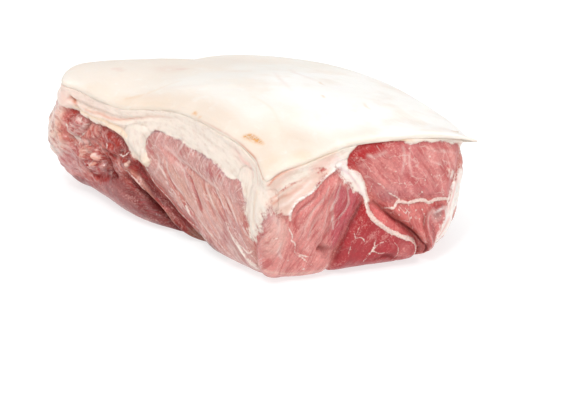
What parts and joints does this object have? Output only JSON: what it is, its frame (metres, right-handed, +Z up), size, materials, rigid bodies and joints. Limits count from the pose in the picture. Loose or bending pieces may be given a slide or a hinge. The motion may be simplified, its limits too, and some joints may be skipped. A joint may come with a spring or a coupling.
{
  "type": "boneless pork shoulder",
  "caption": "Raw boneless pork shoulder joint lying rind side up, with a cream rind, a rough neck end, a silver-skinned long side and a marbled cut face.",
  "frame": {"origin": "under the middle of the joint's bounding box, on the surface it lies on", "axes": "+Z up, rind side up; +X along the joint from its thin neck end to its cut face; +Y from the silver-skinned long side to the rounded back"},
  "size_m": [0.3053, 0.1895, 0.0989],
  "materials": {
    "raw_meat": "moist satin",
    "rind": "smooth, faintly moist"
  },
  "bodies": {
    "root": {"pork_shoulder": "raw_meat"}
  },
  "joints": []
}
